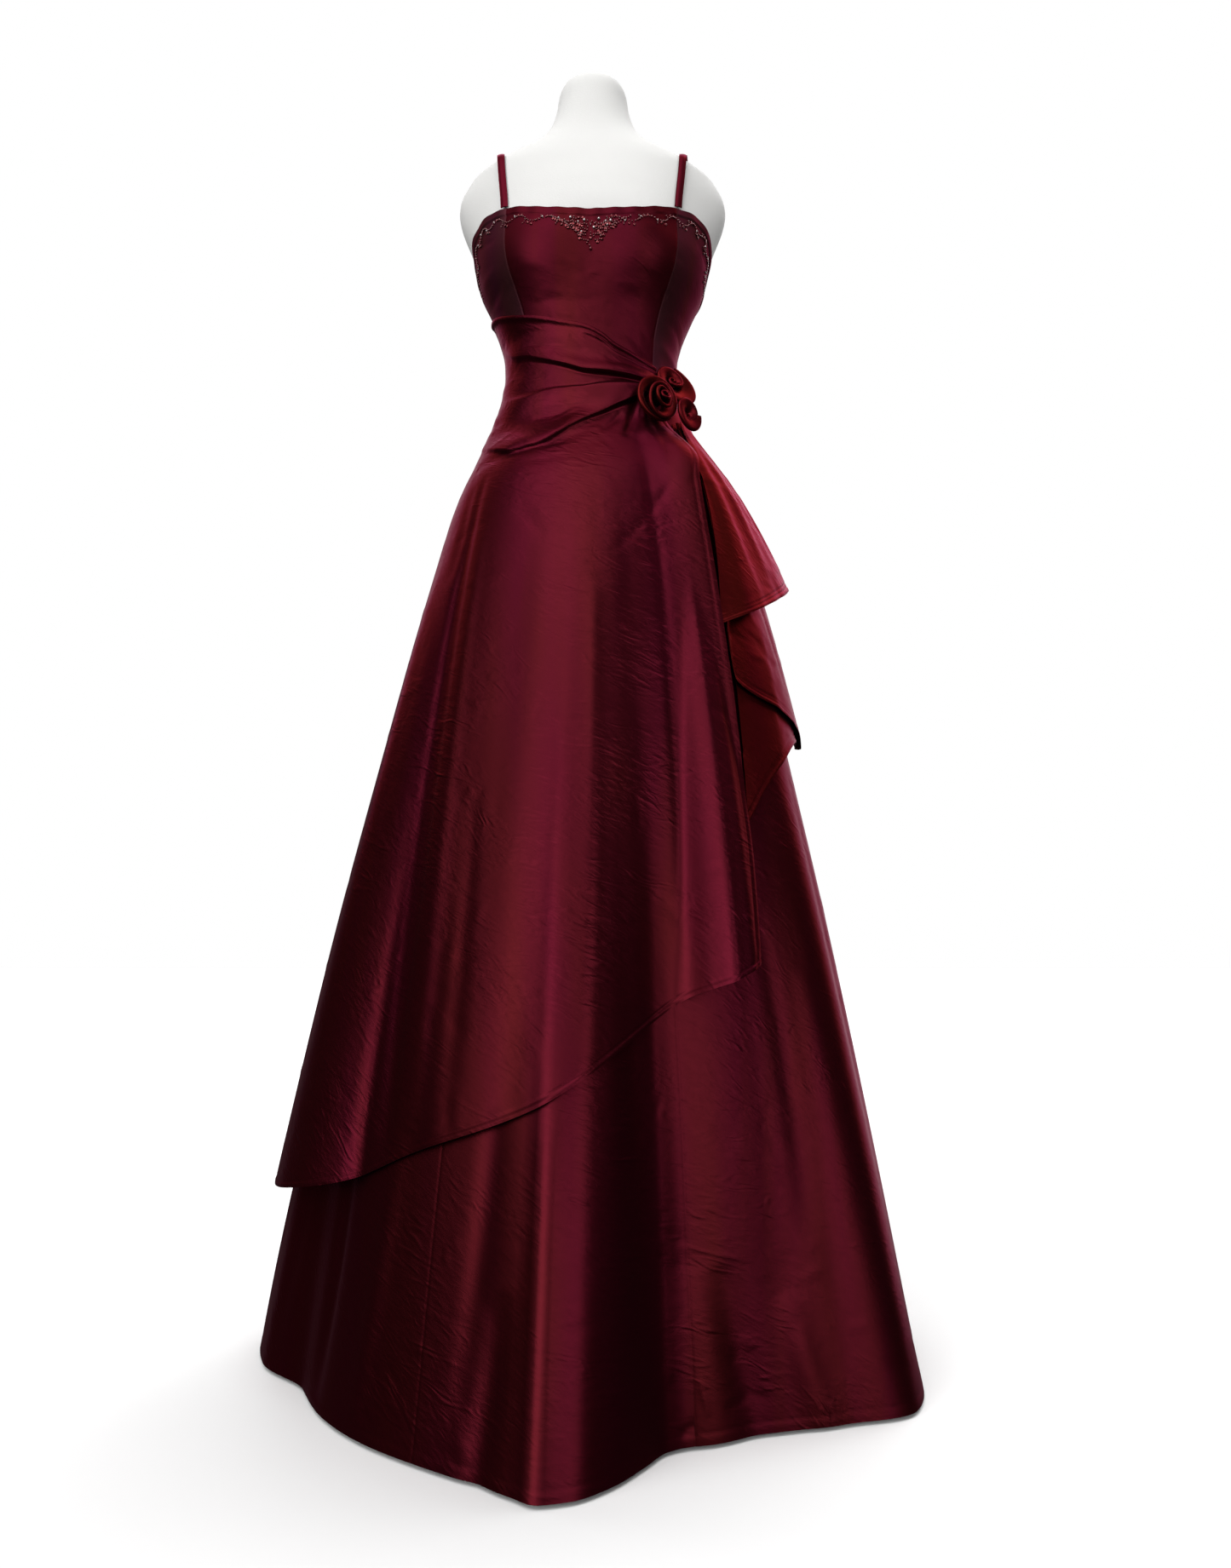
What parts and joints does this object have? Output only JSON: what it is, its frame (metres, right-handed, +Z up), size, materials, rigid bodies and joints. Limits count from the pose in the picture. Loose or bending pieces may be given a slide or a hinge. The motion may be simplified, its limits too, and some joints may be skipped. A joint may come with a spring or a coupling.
{
  "type": "evening dress on dress form",
  "caption": "Floor-length strappy evening dress with a pleated waist drape, slanting overskirt, side cascade and fabric roses, on a limbless dress form with a round stand.",
  "frame": {"origin": "centre of the stand base's underside, on the floor", "axes": "+Z up, the dress faces -Y, +X is the side with the roses and the cascade (the wearer's left)"},
  "size_m": [0.7206, 0.7704, 1.54],
  "materials": {
    "taffeta": "shot taffeta, soft sheen",
    "rose_taffeta": "shot taffeta, soft sheen",
    "form_cover": "matt stretch cover",
    "stand_metal": "satin"
  },
  "bodies": {
    "root": {"bodice_front": "taffeta", "bodice_side_left": "taffeta", "bodice_side_right": "taffeta", "bodice_back_left": "taffeta", "bodice_back_right": "taffeta", "strap_left": "taffeta", "strap_right": "taffeta", "skirt_front": "taffeta", "skirt_side_left": "taffeta", "skirt_side_right": "taffeta", "skirt_back_left": "taffeta", "skirt_back_right": "taffeta", "overskirt_front": "taffeta", "overskirt_back": "taffeta", "cascade": "taffeta", "rose_main": "rose_taffeta", "rose_upper": "rose_taffeta", "rose_lower": "rose_taffeta", "form_torso": "form_cover", "stand_pole": "stand_metal", "stand_base": "stand_metal"}
  },
  "joints": []
}
